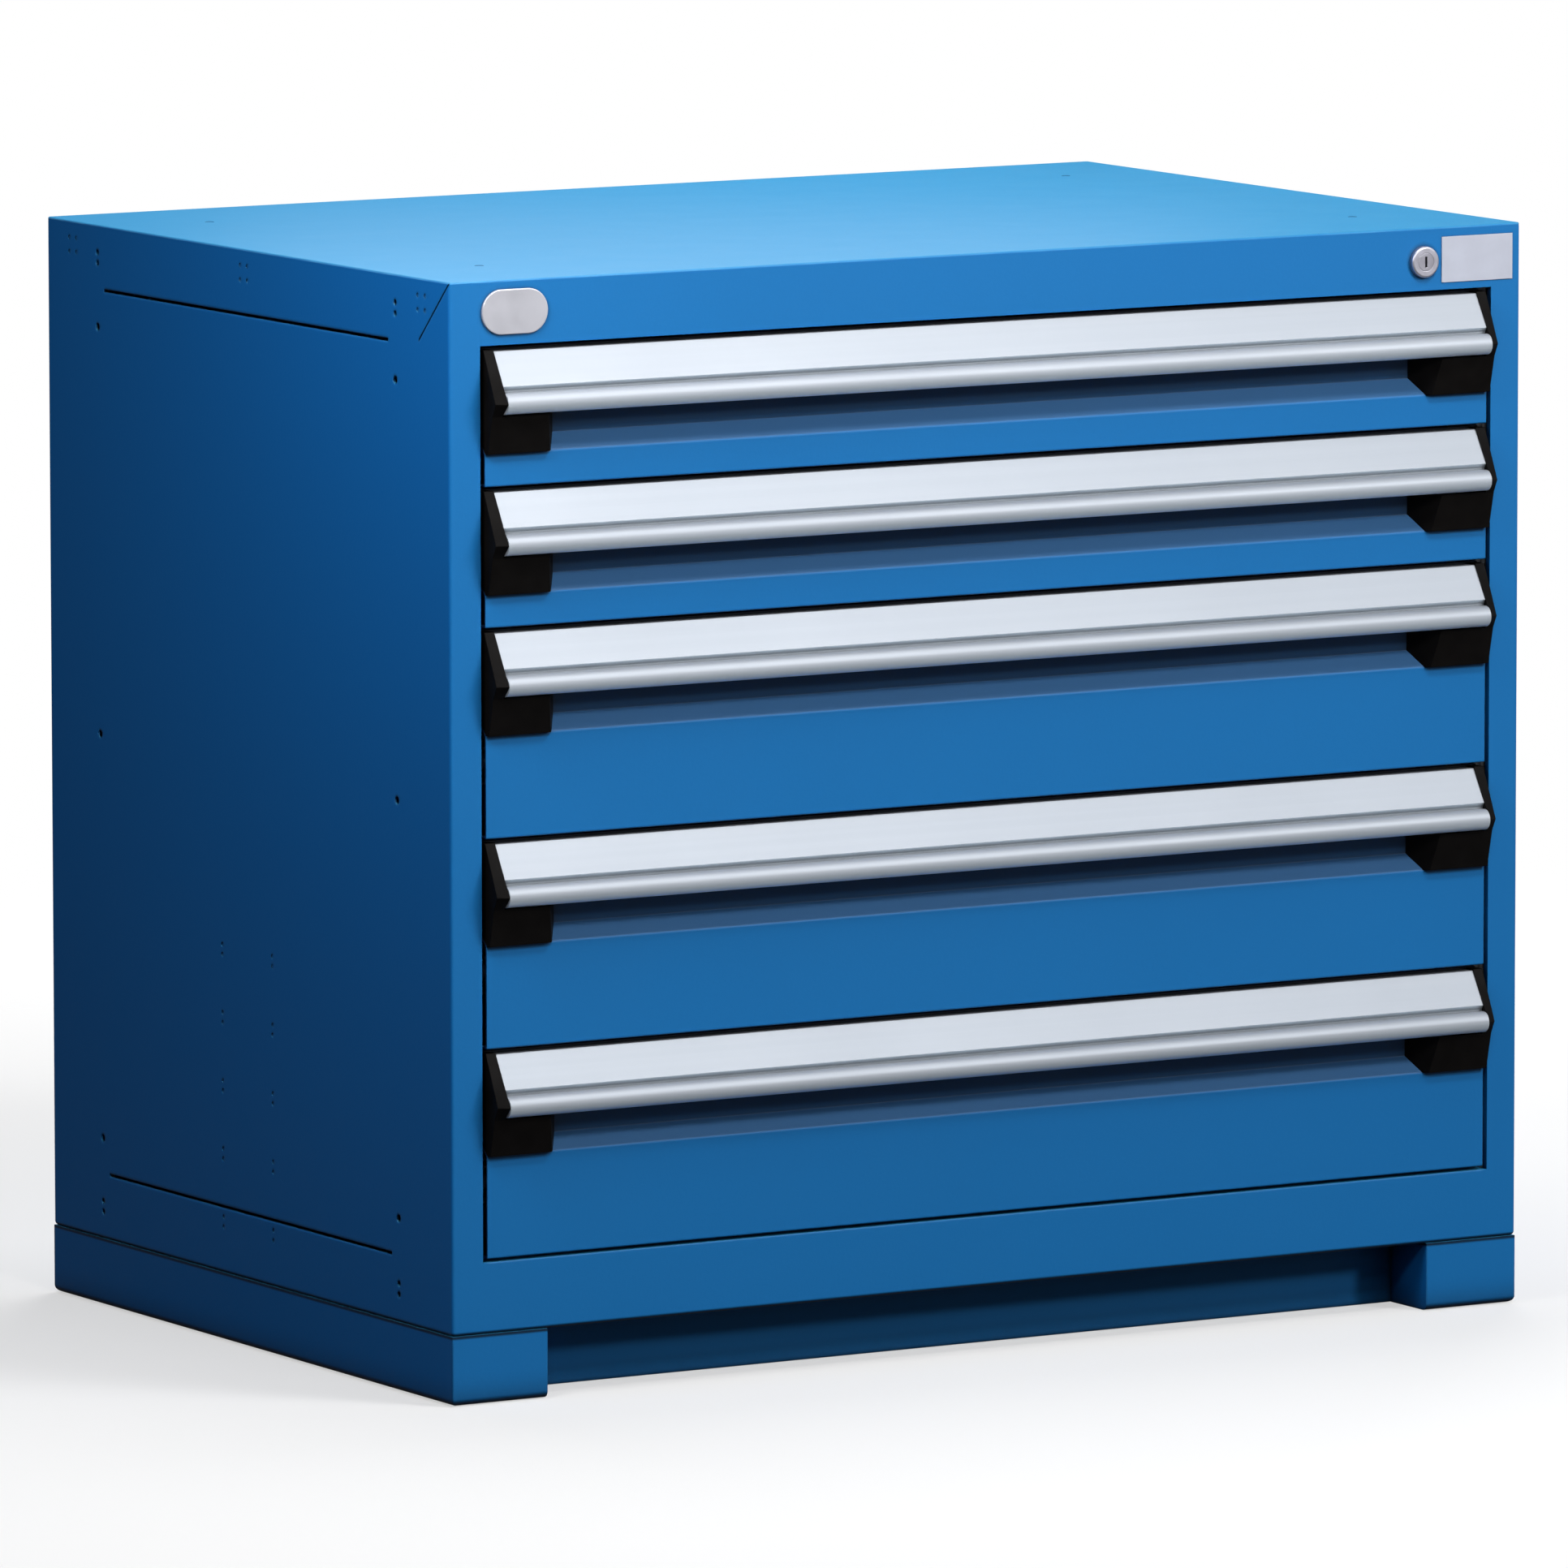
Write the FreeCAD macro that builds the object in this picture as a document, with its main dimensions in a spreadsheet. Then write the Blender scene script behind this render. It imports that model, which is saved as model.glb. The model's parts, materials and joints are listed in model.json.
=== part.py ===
import FreeCAD, Part
import math
import os
import re

import Sketcher

# Modular drawer cabinet: a sheet steel housing on a base, with five drawers on
# telescopic roller slides and one key lock that holds all of them shut.
#
# Frame: +X to the right seen from the front, +Y to the back, +Z up.
# The origin is on the floor, under the middle of the whole cabinet, handles included.

# Driving sizes, in millimetres
SIZES = [
    ("cabinet_width", 914.4, "housing, outside, side to side"),
    ("cabinet_depth", 609.6, "housing, front plane to back"),
    ("base_height", 50.8, "base under the housing"),
    ("sill_height", 52.0, "frame below the lowest drawer"),
    ("header_height", 47.0, "frame above the top drawer"),
    ("stile_width", 25.4, "frame beside the drawers"),
    ("shallow_pitch", 101.6, "height taken by a shallow drawer"),
    ("deep_pitch", 152.4, "height taken by a deep drawer"),
    ("drawer_gap", 2.6, "gap above and below a drawer front"),
    ("drawer_side_gap", 3.8, "gap beside a drawer front"),
    ("sheet", 1.5, "housing sheet"),
    ("hem_depth", 5.0, "fold behind the stile's inner edge"),
    ("lip_depth", 16.0, "narrow fold of the housing sheets"),
    ("flange_width", 30.0, "wide fold under the housing sides"),
    ("rail_fold", 32.0, "depth of the header and sill sections"),
    ("rail_lip", 12.0, "stiffening lip of the header and sill"),
    ("corner_bend", 2.0, "bend radius of the upright corners"),
    ("bottom_bend", 3.0, "bend radius along the housing's foot"),
    ("top_edge", 1.2, "rounding of the top sheet's edge"),
    ("mitre_length", 44.2, "corner seam on the side, along each axis"),
    ("mitre_width", 1.4, "width of the corner seam"),
    ("mitre_depth", 0.8, "depth of the corner seam"),
    ("side_slot_inset", 88.9, "side slot end, from front and back"),
    ("side_slot_height", 2.4, "side slot opening"),
    ("joining_hole_radius", 3.0, "holes for joining cabinets side by side"),
    ("joining_hole_inset", 78.7, "joining holes, from front and back"),
    ("joining_row_pitch", 304.8, "joining holes, row to row"),
    ("screw_hole_radius", 2.2, "screw holes in the corners of a side"),
    ("screw_hole_step", 8.0, "spacing in a pair of screw holes"),
    ("screw_row_inset", 24.5, "screw holes, from the housing's top and bottom"),
    ("top_mark_radius", 3.5, "weld marks on the top"),
    ("top_mark_depth", 0.4, "depth of a weld mark"),
    ("top_mark_from_side", 82.6, "weld marks on the top, from each side"),
    ("top_mark_inset", 101.6, "weld marks on the top, from front and back"),
    ("dimple_radius", 1.7, "weld dimples on the sides"),
    ("dimple_depth", 0.6, "depth of a weld dimple"),
    ("dimple_step", 10.6, "spacing in a group of four dimples"),
    ("dimple_group_inset", 40.2, "outer groups of dimples, from front and back"),
    ("dimple_group_drop", 17.8, "groups of dimples, below the top"),
    ("pair_step", 7.5, "spacing in a pair of dimples"),
    ("pair_spread", 38.1, "columns of pairs, from the middle of the side"),
    ("pair_rise", 38.1, "lowest pairs, above the base"),
    ("pair_pitch", 50.8, "rows of pairs"),
    ("post_depth", 40.0, "slotted post, front to back"),
    ("post_sheet", 2.0, "slotted post sheet"),
    ("front_post_inset", 18.9, "front posts, behind the front plane"),
    ("rear_post_inset", 10.0, "rear posts, ahead of the back"),
    ("post_slot_height", 12.0, "slot in a post"),
    ("post_slot_width", 4.0, "width of a post slot"),
    ("post_slot_pitch", 25.4, "slot to slot in a post"),
    ("base_sheet", 2.0, "base sheet"),
    ("foot_width", 78.7, "closed front corner of the base"),
    ("toe_depth", 49.5, "toe recess, front to back"),
    ("base_flange", 35.0, "top and bottom folds of the base"),
    ("base_bend", 5.0, "bend radius along the floor"),
    ("anchor_radius", 6.0, "floor anchor holes"),
    ("anchor_from_side", 20.0, "anchor holes, from the side"),
    ("anchor_inset", 120.0, "anchor holes, from front and back"),
    ("bolt_radius", 5.0, "bolts between base and housing"),
    ("bolt_clearance", 0.5, "bolt in its holes"),
    ("bolt_from_side", 17.0, "base bolts, from the side"),
    ("bolt_inset", 80.0, "base bolts, from front and back"),
    ("bolt_head_flats", 16.0, "hexagon across flats"),
    ("bolt_head_height", 6.4, "bolt head"),
    ("nut_height", 8.0, "nut"),
    ("front_sheet", 1.5, "drawer front sheet"),
    ("grip_height", 76.2, "recessed part of a drawer front"),
    ("grip_depth", 11.7, "depth of the recess behind the handle"),
    ("front_fold", 11.0, "fold under a drawer front"),
    ("front_bend", 1.2, "bend radius under a drawer front"),
    ("crease_bend", 3.0, "bend radius where a drawer front starts to slope"),
    ("handle_reach", 20.6, "handle, ahead of the front plane"),
    ("handle_wall", 2.0, "handle section wall"),
    ("handle_top_drop", 3.0, "handle's top edge, below the drawer's top line"),
    ("handle_top_inset", 2.5, "handle's top edge, behind the front plane"),
    ("handle_run", 14.7, "handle's flat, towards the front"),
    ("handle_fall", 24.4, "handle's flat, downwards"),
    ("handle_step_run", 2.0, "notch under the flat, inwards"),
    ("handle_step_fall", 3.1, "notch under the flat, downwards"),
    ("handle_roll_radius", 7.8, "round grip edge"),
    ("handle_roll_drop", 39.6, "grip edge centre, below the top line"),
    ("handle_end_inset", 37.2, "handle section's end, from the cabinet's side"),
    ("cap_wing_length", 38.3, "foot of an end cap along the handle"),
    ("cap_wing_flare", 16.0, "foot of an end cap, longer at its root"),
    ("cap_wing_top", 48.9, "foot of an end cap, top below the top line"),
    ("cap_wing_front", 11.4, "foot of an end cap, ahead of the front plane"),
    ("cap_toe_front", 4.6, "end cap's lowest edge, ahead of the front plane"),
    ("cap_top_drop", 2.0, "end cap's top, below the top line"),
    ("cap_lap", 0.8, "end cap, standing out from the handle's flat"),
    ("cap_nose_inset", 3.0, "outer end of a cap, drawn in at the handle's notch"),
    ("cap_grip_inset", 5.0, "outer end of a cap, drawn in at the grip edge"),
    ("cap_foot_inset", 0.5, "outer end of a cap, drawn in at its foot"),
    ("tray_wall", 1.2, "drawer tray sheet"),
    ("tray_depth", 550.0, "drawer tray, front to back"),
    ("tray_floor_rise", 7.0, "tray, above the drawer's bottom line"),
    ("tray_top_drop", 12.0, "tray, below the drawer's top line"),
    ("slide_rise", 36.0, "slide, above the drawer's bottom line"),
    ("slide_height", 33.0, "slide section height"),
    ("slide_sheet", 2.0, "slide section sheet"),
    ("slide_flange", 13.0, "slide section fold"),
    ("slide_side_gap", 1.5, "between one slide section and the next"),
    ("slide_front_inset", 30.0, "fixed rail's front end"),
    ("slide_rear_inset", 20.0, "fixed rail's rear end"),
    ("carriage_front_inset", 35.0, "middle section's front end"),
    ("runner_front_inset", 17.0, "drawer section's front end"),
    ("slide_length", 525.0, "middle section's length"),
    ("roller_radius", 11.0, "slide roller"),
    ("roller_width", 9.0, "slide roller width"),
    ("roller_rise", 1.5, "roller, above the fold below it"),
    ("roller_setback", 20.0, "roller, behind its section's front end"),
    ("roller_gap", 0.3, "roller to the fold that it carries"),
    ("roller_side_gap", 1.0, "roller to the web beside it"),
    ("pin_radius", 3.0, "roller pin"),
    ("pin_clearance", 0.08, "roller bore on its pin"),
    ("pin_head_radius", 4.6, "roller pin head"),
    ("pin_head_width", 1.2, "roller pin head thickness"),
    ("pin_head_gap", 0.5, "roller to the pin head"),
    ("shoe_length", 30.0, "guide shoe at a section's rear end"),
    ("shoe_gap", 0.5, "guide shoe, above and below"),
    ("lock_from_side", 85.6, "lock, from the right side"),
    ("lock_from_top", 25.4, "lock, from the top"),
    ("lock_face_radius", 11.7, "lock face"),
    ("lock_face_height", 4.2, "lock face, ahead of the front plane"),
    ("lock_face_rounding", 1.6, "rounded rim of the lock face"),
    ("lock_barrel_radius", 9.0, "lock barrel"),
    ("lock_barrel_length", 18.0, "lock barrel, behind the front plane"),
    ("lock_nut_flats", 25.0, "lock nut across flats"),
    ("lock_nut_width", 4.0, "lock nut thickness"),
    ("lock_hole_clearance", 0.2, "lock barrel in the header"),
    ("plug_radius", 6.8, "key plug"),
    ("plug_clearance", 0.06, "key plug in the barrel"),
    ("key_slot_width", 1.8, "key slot"),
    ("key_slot_height", 8.0, "key slot"),
    ("key_slot_depth", 12.0, "key slot"),
    ("cam_radius", 10.5, "cam disc"),
    ("cam_width", 2.5, "cam disc thickness"),
    ("cam_gap", 1.0, "cam disc behind the barrel"),
    ("crank_radius", 7.42, "cam pin, from the lock's axis"),
    ("crank_pin_radius", 2.5, "cam pin"),
    ("crank_pin_length", 6.5, "cam pin"),
    ("crank_pin_clearance", 0.4, "cam pin in the bar's slot"),
    ("bar_front", 14.5, "lock bar, behind the front plane"),
    ("bar_thickness", 4.0, "lock bar"),
    ("bar_width", 16.0, "lock bar"),
    ("bar_from_side", 5.0, "lock bar, from the right side"),
    ("bar_arm_gap", 1.5, "lock bar's arm behind the cam"),
    ("bar_arm_thickness", 3.0, "lock bar's arm"),
    ("bar_arm_half_height", 8.0, "lock bar's arm, above and below its slot"),
    ("hook_reach", 40.0, "lock hook's tip, from the right side"),
    ("hook_height", 9.0, "lock hook"),
    ("hook_rise", 17.0, "lock hook, above the drawer's bottom line"),
    ("catch_height", 8.0, "catch on a drawer tray"),
    ("catch_from_side", 30.5, "catch's tip, from the right side"),
    ("catch_play", 1.5, "catch behind a hook"),
    ("catch_sheet", 2.0, "catch sheet"),
    ("catch_length", 20.0, "catch along the tray's side"),
    ("guide_rise", 60.0, "lock bar guides, above a drawer's bottom line"),
    ("guide_height", 12.0, "lock bar guide"),
    ("guide_wall", 1.5, "lock bar guide sheet"),
    ("guide_clearance", 0.4, "lock bar in its guides"),
    ("label_width", 62.5, "blank label"),
    ("label_height", 34.0, "blank label"),
    ("label_from_side", 6.9, "blank label, from the right side"),
    ("label_from_top", 7.6, "blank label, from the top"),
    ("label_thickness", 0.5, "blank label"),
    ("badge_width", 54.4, "blank badge"),
    ("badge_height", 32.5, "blank badge"),
    ("badge_from_side", 26.4, "blank badge, from the left side"),
    ("badge_from_top", 6.9, "blank badge, from the top"),
    ("badge_thickness", 1.8, "blank badge"),
    ("badge_rounding", 0.7, "rounded rim of the badge"),
]

# Drawers from the top down
DRAWERS = ["shallow_pitch", "shallow_pitch", "deep_pitch", "deep_pitch", "deep_pitch"]

DOC = FreeCAD.newDocument("modular_drawer_cabinet")
SHEET = DOC.addObject("Spreadsheet::Sheet", "Sizes")
for row, (name, size, meaning) in enumerate(SIZES, start=1):
    SHEET.set(f"A{row}", name)
    SHEET.set(f"B{row}", str(size))
    SHEET.setAlias(f"B{row}", name)
    SHEET.set(f"C{row}", meaning)
DOC.recompute()

SIZE_NAMES = {name for name, size, meaning in SIZES}
SUBPARTS = []


# Places that many pieces share, as expressions on the sizes

HALF = "(cabinet_width / 2)"
FRONT = "((handle_reach - cabinet_depth) / 2)"
BACK = "((handle_reach + cabinet_depth) / 2)"
SILL_TOP = "(base_height + sill_height)"
STACK = "(" + " + ".join(DRAWERS) + ")"
HEADER_BOTTOM = f"({SILL_TOP} + drawer_gap + {STACK})"
TOP = f"({HEADER_BOTTOM} + header_height)"
MIDDLE_Y = f"(({FRONT} + {BACK}) / 2)"
MIDDLE_Z = f"((base_height + {TOP}) / 2)"
FLOOR_TOP = "(base_height + 2 * sheet)"
FRONT_EDGE = "(stile_width + drawer_side_gap)"


def bound(expression):
    """Put the sheet's name before each size in an expression."""
    def full_name(word):
        return "Sizes." + word.group() if word.group() in SIZE_NAMES else word.group()
    return re.sub(r"[a-z][a-z_]*", full_name, expression)


def number(expression):
    return float(SHEET.evalExpression(bound(expression)))


def from_left(distance):
    return f"(-{HALF} + ({distance}))"


def from_right(distance):
    return f"({HALF} - ({distance}))"


def from_front(distance):
    return f"({FRONT} + ({distance}))"


def from_back(distance):
    return f"({BACK} - ({distance}))"


def bottom_line(index):
    """Height of the line under a drawer, 0 being the top drawer."""
    below = "".join(f" + {pitch}" for pitch in DRAWERS[index + 1:])
    return f"({SILL_TOP} + drawer_gap / 2{below})"


def top_line(index):
    return f"({bottom_line(index)} + {DRAWERS[index]})"


# Sketches and features

PLANE_ROLES = {"XY": "XY_Plane", "XZ": "XZ_Plane", "YZ": "YZ_Plane"}


def new_body(label):
    body = DOC.addObject("PartDesign::Body", label)
    body.Label = label
    return body


def new_sketch(body, plane, level):
    """A sketch parallel to an origin plane; the XZ plane faces the front."""
    sketch = body.newObject("Sketcher::SketchObject", f"{body.Name}_sketch")
    origin_plane = next(
        item for item in body.Origin.OriginFeatures if item.Role == PLANE_ROLES[plane])
    sketch.AttachmentSupport = [(origin_plane, "")]
    sketch.MapMode = "FlatFace"
    sign = "-" if plane == "XZ" else ""
    sketch.setExpression("AttachmentOffset.Base.z", bound(f"{sign}({level})"))
    return sketch


def hold(sketch, kind, place, expression):
    """Hold one coordinate or radius of a sketch at an expression."""
    index = sketch.addConstraint(Sketcher.Constraint(kind, *place, number(expression)))
    sketch.setExpression(f"Constraints[{index}]", bound(expression))


def draw_outline(sketch, corners):
    """A closed outline of straight lines through corners given as expressions."""
    places = [FreeCAD.Vector(number(across), number(up), 0) for across, up in corners]
    first = sketch.GeometryCount
    count = len(corners)
    for step in range(count):
        line = Part.LineSegment(places[step], places[(step + 1) % count])
        sketch.addGeometry(line, False)
    for step in range(count):
        following = first + (step + 1) % count
        sketch.addConstraint(
            Sketcher.Constraint("Coincident", first + step, 2, following, 1))
    for step, (across, up) in enumerate(corners):
        hold(sketch, "DistanceX", (-1, 1, first + step, 1), across)
        hold(sketch, "DistanceY", (-1, 1, first + step, 1), up)


def draw_circle(sketch, across, up, radius):
    centre = FreeCAD.Vector(number(across), number(up), 0)
    circle = Part.Circle(centre, FreeCAD.Vector(0, 0, 1), number(radius))
    index = sketch.addGeometry(circle, False)
    hold(sketch, "Radius", (index,), radius)
    hold(sketch, "DistanceX", (-1, 1, index, 3), across)
    hold(sketch, "DistanceY", (-1, 1, index, 3), up)


def fill_sketch(sketch, outlines, circles):
    for corners in outlines:
        draw_outline(sketch, corners)
    for across, up, radius in circles:
        draw_circle(sketch, across, up, radius)


def extrude(body, kind, sketch, low, high):
    before = body.Shape.Volume if body.Tip else 0.0
    feature = body.newObject(f"PartDesign::{kind}", f"{body.Name}_{kind.lower()}")
    feature.Profile = sketch
    feature.setExpression("Length", bound(f"{high} - {low}"))
    DOC.recompute()
    change = body.Shape.Volume - before
    assert change * (1 if kind == "Pad" else -1) > 0, f"{feature.Name} changes nothing"


def add(body, plane, low, high, outlines=(), circles=()):
    """Add a prism between two levels across the plane."""
    sketch = new_sketch(body, plane, high if plane == "XZ" else low)
    fill_sketch(sketch, outlines, circles)
    extrude(body, "Pad", sketch, low, high)


def cut(body, plane, low, high, outlines=(), circles=()):
    """Cut a prism between two levels across the plane."""
    sketch = new_sketch(body, plane, low if plane == "XZ" else high)
    fill_sketch(sketch, outlines, circles)
    extrude(body, "Pocket", sketch, low, high)


def rectangle(left, right, bottom, top):
    return [(left, bottom), (right, bottom), (right, top), (left, top)]


def hexagon(across, up, flats):
    """A regular hexagon, given by its size across flats."""
    corners = []
    for step in range(6):
        turn = math.radians(60 * step)
        corners.append((f"({across} + ({flats}) / sqrt(3) * {math.cos(turn):.9f})",
                        f"({up} + ({flats}) / sqrt(3) * {math.sin(turn):.9f})"))
    return corners


def edges_at(body, **places):
    """Names of the edges whose ends all lie at the given coordinates."""
    axes = {"x": 0, "y": 1, "z": 2}
    wanted = [(axes[axis], number(place)) for axis, place in places.items()]
    names = []
    for index, edge in enumerate(body.Shape.Edges, start=1):
        points = [vertex.Point for vertex in edge.Vertexes]
        if all(abs(point[axis] - place) < 0.01 for point in points for axis, place in wanted):
            names.append(f"Edge{index}")
    return names


def round_edges(body, radius, *places):
    names = sorted({name for place in places for name in edges_at(body, **place)})
    assert names, f"{body.Label} has no edge to round"
    rounded = body.Tip
    fillet = body.newObject("PartDesign::Fillet", f"{body.Name}_fillet")
    fillet.Base = (rounded, names)
    fillet.setExpression("Radius", bound(radius))
    DOC.recompute()
    assert body.Shape.isValid(), f"{fillet.Name} fails"


def mirrored(label, source):
    """The same piece on the other side of the cabinet's middle plane."""
    mirror = DOC.addObject("Part::Mirroring", label)
    mirror.Label = label
    mirror.Source = source
    mirror.Normal = FreeCAD.Vector(1, 0, 0)
    return mirror


def group(label, pieces):
    """Like pieces in one sub-part, as separate solids."""
    compound = DOC.addObject("Part::Compound", label)
    compound.Label = label
    compound.Links = pieces
    return compound


def keep(*subparts):
    SUBPARTS.extend(subparts)


def pair(label, left):
    """A left piece and its mirror image as one sub-part."""
    left.Label = f"{label}_left_piece"
    return group(label, [left, mirrored(f"{label}_right_piece", left)])


# Housing

def mitre_seam():
    """Corner seam of the folded housing, running down and back at 45 degrees."""
    drop = "mitre_width * sqrt(2)"
    end_y = from_front("mitre_length")
    return [(FRONT, TOP), (end_y, f"({TOP} - mitre_length)"),
            (end_y, f"({TOP} - mitre_length - {drop})"), (FRONT, f"({TOP} - {drop})")]


def side_holes():
    """Joining holes in three rows, and pairs of screw holes near the corners."""
    rows = [f"({MIDDLE_Z} {step} * joining_row_pitch)" for step in ("- 1", "+ 0", "+ 1")]
    screw_rows = ["(base_height + screw_row_inset)", f"({TOP} - screw_row_inset)"]
    holes = []
    for column in (from_front("joining_hole_inset"), from_back("joining_hole_inset")):
        holes += [(column, row, "joining_hole_radius") for row in rows]
        for row in screw_rows:
            holes += [(column, f"({row} {sign} screw_hole_step / 2)", "screw_hole_radius")
                      for sign in ("-", "+")]
    return holes


def weld_dimples():
    """Groups of four under the top edge, and rows of pairs low on the side."""
    dimples = []
    centre_z = f"({TOP} - dimple_group_drop)"
    for centre_y in (from_front("dimple_group_inset"), MIDDLE_Y, from_back("dimple_group_inset")):
        for sign_y in ("-", "+"):
            for sign_z in ("-", "+"):
                dimples.append((f"({centre_y} {sign_y} dimple_step / 2)",
                                f"({centre_z} {sign_z} dimple_step / 2)", "dimple_radius"))
    for row in range(5):
        row_z = f"(base_height + pair_rise + {row} * pair_pitch)"
        for sign_y in ("-", "+"):
            for sign_z in ("-", "+"):
                dimples.append((f"({MIDDLE_Y} {sign_y} pair_spread)",
                                f"({row_z} {sign_z} pair_step / 2)", "dimple_radius"))
    return dimples


def side_panel():
    """Left side with its front stile and the folds that carry top, back and floor."""
    body = new_body("side_panel_left")
    plan = [(from_left(across), from_front(back)) for across, back in [
        ("0", "0"), ("stile_width", "0"), ("stile_width", "hem_depth"),
        ("stile_width - sheet", "hem_depth"), ("stile_width - sheet", "sheet"),
        ("sheet", "sheet"), ("sheet", "cabinet_depth - sheet"),
        ("lip_depth", "cabinet_depth - sheet"), ("lip_depth", "cabinet_depth"),
        ("0", "cabinet_depth")]]
    add(body, "XY", "base_height", f"({TOP} - sheet)", [plan])
    foot = [(from_left(across), from_front(back)) for across, back in [
        ("0", "0"), ("stile_width", "0"), ("stile_width", "lip_depth"),
        ("flange_width", "lip_depth"), ("flange_width", "cabinet_depth"),
        ("0", "cabinet_depth")]]
    add(body, "XY", "base_height", "(base_height + sheet)", [foot])
    head = rectangle(from_left("0"), from_left("lip_depth"), FRONT, from_back("2 * sheet"))
    add(body, "XY", f"({TOP} - 2 * sheet)", f"({TOP} - sheet)", [head])
    outer = from_left("0")
    round_edges(body, "corner_bend", {"x": outer, "y": FRONT}, {"x": outer, "y": BACK})
    round_edges(body, "bottom_bend", {"x": outer, "z": "base_height"},
                {"y": FRONT, "z": "base_height"}, {"y": BACK, "z": "base_height"})
    slots = []
    for centre_z in (f"({HEADER_BOTTOM} - drawer_gap / 2)", f"({SILL_TOP} - drawer_gap)"):
        slots.append(rectangle(from_front("side_slot_inset"), from_back("side_slot_inset"),
                               f"({centre_z} - side_slot_height / 2)",
                               f"({centre_z} + side_slot_height / 2)"))
    cut(body, "YZ", outer, from_left("sheet"), slots, side_holes())
    cut(body, "YZ", outer, from_left("mitre_depth"), [mitre_seam()])
    cut(body, "YZ", outer, from_left("dimple_depth"), circles=weld_dimples())
    bolt_holes = [(from_left("bolt_from_side"), place, "(bolt_radius + bolt_clearance)")
                  for place in (from_front("bolt_inset"), from_back("bolt_inset"))]
    cut(body, "XY", "base_height", "(base_height + sheet)", circles=bolt_holes)
    return body


def top_panel():
    body = new_body("top_panel")
    low = f"({TOP} - sheet)"
    add(body, "XY", low, TOP, [rectangle(f"-{HALF}", HALF, FRONT, BACK)])
    corners = [{"x": across, "y": back} for across in (f"-{HALF}", HALF) for back in (FRONT, BACK)]
    round_edges(body, "corner_bend", *corners)
    round_edges(body, "top_edge", {"x": HALF, "z": TOP}, {"x": f"-{HALF}", "z": TOP},
                {"y": FRONT, "z": TOP}, {"y": BACK, "z": TOP})
    marks = [(across, back, "top_mark_radius")
             for across in (from_left("top_mark_from_side"), from_right("top_mark_from_side"))
             for back in (from_front("top_mark_inset"), from_back("top_mark_inset"))]
    cut(body, "XY", f"({TOP} - top_mark_depth)", TOP, circles=marks)
    cut(body, "YZ", f"-{HALF}", from_left("mitre_depth"), [mitre_seam()])
    cut(body, "YZ", from_right("mitre_depth"), HALF, [mitre_seam()])
    return body


def back_panel():
    body = new_body("back_panel")
    outline = rectangle(from_left("sheet"), from_right("sheet"), FLOOR_TOP, f"({TOP} - sheet)")
    add(body, "XZ", from_back("2 * sheet"), from_back("sheet"), [outline])
    return body


def floor_panel():
    """Housing floor, lying on the folds of the sides and the sill."""
    body = new_body("floor_panel")
    outline = rectangle(from_left("sheet"), from_right("sheet"),
                        from_front("hem_depth"), from_back("sheet"))
    holes = [(across, back, "(bolt_radius + bolt_clearance)")
             for across in (from_left("bolt_from_side"), from_right("bolt_from_side"))
             for back in (from_front("bolt_inset"), from_back("bolt_inset"))]
    add(body, "XY", "(base_height + sheet)", FLOOR_TOP, [outline], holes)
    return body


def header():
    """Rail above the drawers, a channel open to the back."""
    body = new_body("front_header")
    inner_top = f"({TOP} - sheet)"
    section = [(from_front(back), height) for back, height in [
        ("0", HEADER_BOTTOM), ("rail_fold", HEADER_BOTTOM),
        ("rail_fold", f"({HEADER_BOTTOM} + rail_lip)"),
        ("rail_fold - sheet", f"({HEADER_BOTTOM} + rail_lip)"),
        ("rail_fold - sheet", f"({HEADER_BOTTOM} + sheet)"), ("sheet", f"({HEADER_BOTTOM} + sheet)"),
        ("sheet", f"({inner_top} - sheet)"), ("lip_depth", f"({inner_top} - sheet)"),
        ("lip_depth", inner_top), ("0", inner_top)]]
    add(body, "YZ", from_left("stile_width"), from_right("stile_width"), [section])
    barrel = (LOCK_X, LOCK_Z, "(lock_barrel_radius + lock_hole_clearance)")
    cut(body, "XZ", FRONT, from_front("sheet"), circles=[barrel])
    return body


def sill():
    """Rail below the drawers, a channel open to the back."""
    body = new_body("front_sill")
    section = [(from_front(back), height) for back, height in [
        ("0", "base_height"), ("lip_depth", "base_height"),
        ("lip_depth", "(base_height + sheet)"), ("sheet", "(base_height + sheet)"),
        ("sheet", f"({SILL_TOP} - sheet)"), ("rail_fold - sheet", f"({SILL_TOP} - sheet)"),
        ("rail_fold - sheet", f"({SILL_TOP} - rail_lip)"), ("rail_fold", f"({SILL_TOP} - rail_lip)"),
        ("rail_fold", SILL_TOP), ("0", SILL_TOP)]]
    add(body, "YZ", from_left("stile_width"), from_right("stile_width"), [section])
    round_edges(body, "bottom_bend", {"y": FRONT, "z": "base_height"})
    return body


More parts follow.
